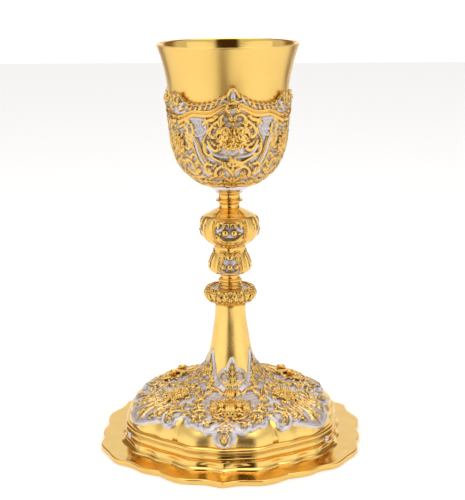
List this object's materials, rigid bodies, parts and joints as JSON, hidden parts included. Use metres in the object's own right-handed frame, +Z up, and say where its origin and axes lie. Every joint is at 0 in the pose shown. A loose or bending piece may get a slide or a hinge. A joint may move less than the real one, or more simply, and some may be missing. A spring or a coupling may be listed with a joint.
{
  "type": "communion chalice",
  "caption": "Baroque-style footed communion chalice: a flared cup that unscrews from an ornamented stem, with a domed and lobed foot in gold and silver relief.",
  "frame": {"origin": "on the chalice's axis, in the plane that the foot stands on", "axes": "+Z up along the stem to the cup, -Y to the front, where the foot's first cartouche and cusp are"},
  "size_m": [0.1848, 0.1882, 0.275],
  "materials": {
    "satin_gold": "satin gold plate",
    "polished_gold": "polished gold plate",
    "silver_and_gold_relief": "polished gold relief on a finely matted silver ground",
    "gold_castings": "burnished cast gold relief",
    "silver": "bright silver plate",
    "steel": "zinc-plated steel",
    "nylon": "natural nylon"
  },
  "bodies": {
    "stem": {"calyx": "silver_and_gold_relief", "calyx_moulding": "polished_gold", "seat_ring": "silver", "upper_neck": "polished_gold", "knop": "silver_and_gold_relief", "lower_knop": "silver_and_gold_relief", "lower_neck": "polished_gold", "collar": "silver_and_gold_relief", "foot": "satin_gold", "throat_plate": "polished_gold", "gallery": "polished_gold", "base_flange": "polished_gold", "tie_rod": "steel", "nut_washer": "steel", "retaining_nut": "steel", "calyx_cartouche_1": "gold_castings", "calyx_bouquet_1": "gold_castings", "dome_cartouche_1": "gold_castings", "dome_bouquet_1": "gold_castings", "gallery_stud_1": "silver", "calyx_cartouche_2": "gold_castings", "calyx_bouquet_2": "gold_castings", "dome_cartouche_2": "gold_castings", "dome_bouquet_2": "gold_castings", "gallery_stud_2": "silver", "calyx_cartouche_3": "gold_castings", "calyx_bouquet_3": "gold_castings", "dome_cartouche_3": "gold_castings", "dome_bouquet_3": "gold_castings", "gallery_stud_3": "silver"},
    "washer": {"cup_washer": "nylon"},
    "cup": {"cup": "satin_gold", "cup_boss": "polished_gold"}
  },
  "joints": [
    {"name": "cup_rise", "type": "slide", "parent": "stem", "child": "washer", "axis": [0, 0, 1], "range_m": [0, 0.01]},
    {"name": "cup_turn", "type": "hinge", "parent": "washer", "child": "cup", "pos_m": [0, 0, 0.178], "axis": [0, 0, 1], "range_deg": [0, 2880]}
  ],
  "couplings": [
    {"joint": "cup_rise", "follows": "cup_turn", "m_per_rad": 0.00019894}
  ]
}
